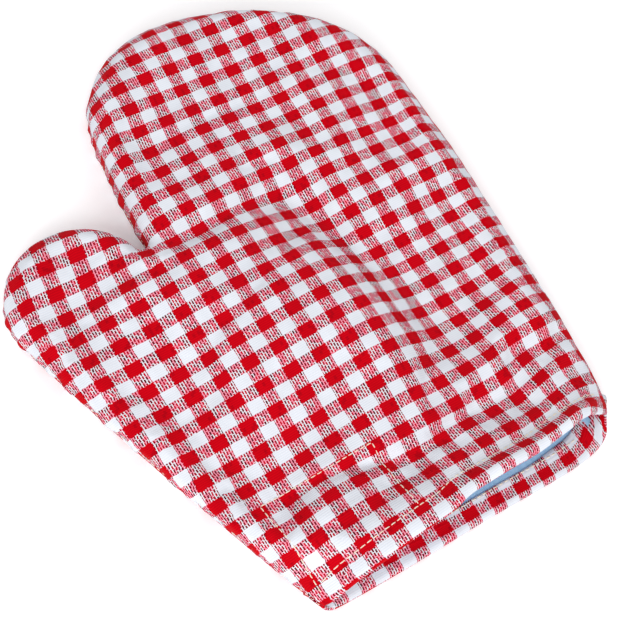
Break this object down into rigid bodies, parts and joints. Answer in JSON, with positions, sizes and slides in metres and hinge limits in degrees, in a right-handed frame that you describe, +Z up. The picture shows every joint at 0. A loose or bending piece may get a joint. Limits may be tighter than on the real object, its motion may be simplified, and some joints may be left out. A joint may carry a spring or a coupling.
{
  "type": "oven mitt",
  "caption": "Padded oven mitt with a separate thumb, gingham shells, a light lining and an open hemmed cuff.",
  "frame": {"origin": "middle of the mitt's bounding box, on the surface it lies on", "axes": "+X to the side away from the thumb, +Y from the cuff to the fingertips, +Z up out of the back of the hand"},
  "size_m": [0.233, 0.293, 0.0341],
  "materials": {
    "gingham_cotton": "matte red and white gingham weave",
    "wadding": "matte",
    "lining_cloth": "matte plain weave",
    "sewing_thread": "satin"
  },
  "bodies": {
    "root": {"back_shell": "gingham_cotton", "palm_shell": "gingham_cotton", "back_wadding": "wadding", "palm_wadding": "wadding", "back_lining": "lining_cloth", "palm_lining": "lining_cloth", "cuff_patch": "lining_cloth", "back_hem_thread": "sewing_thread", "palm_hem_thread": "sewing_thread", "patch_thread": "sewing_thread", "side_seam_thread": "sewing_thread"}
  },
  "joints": []
}
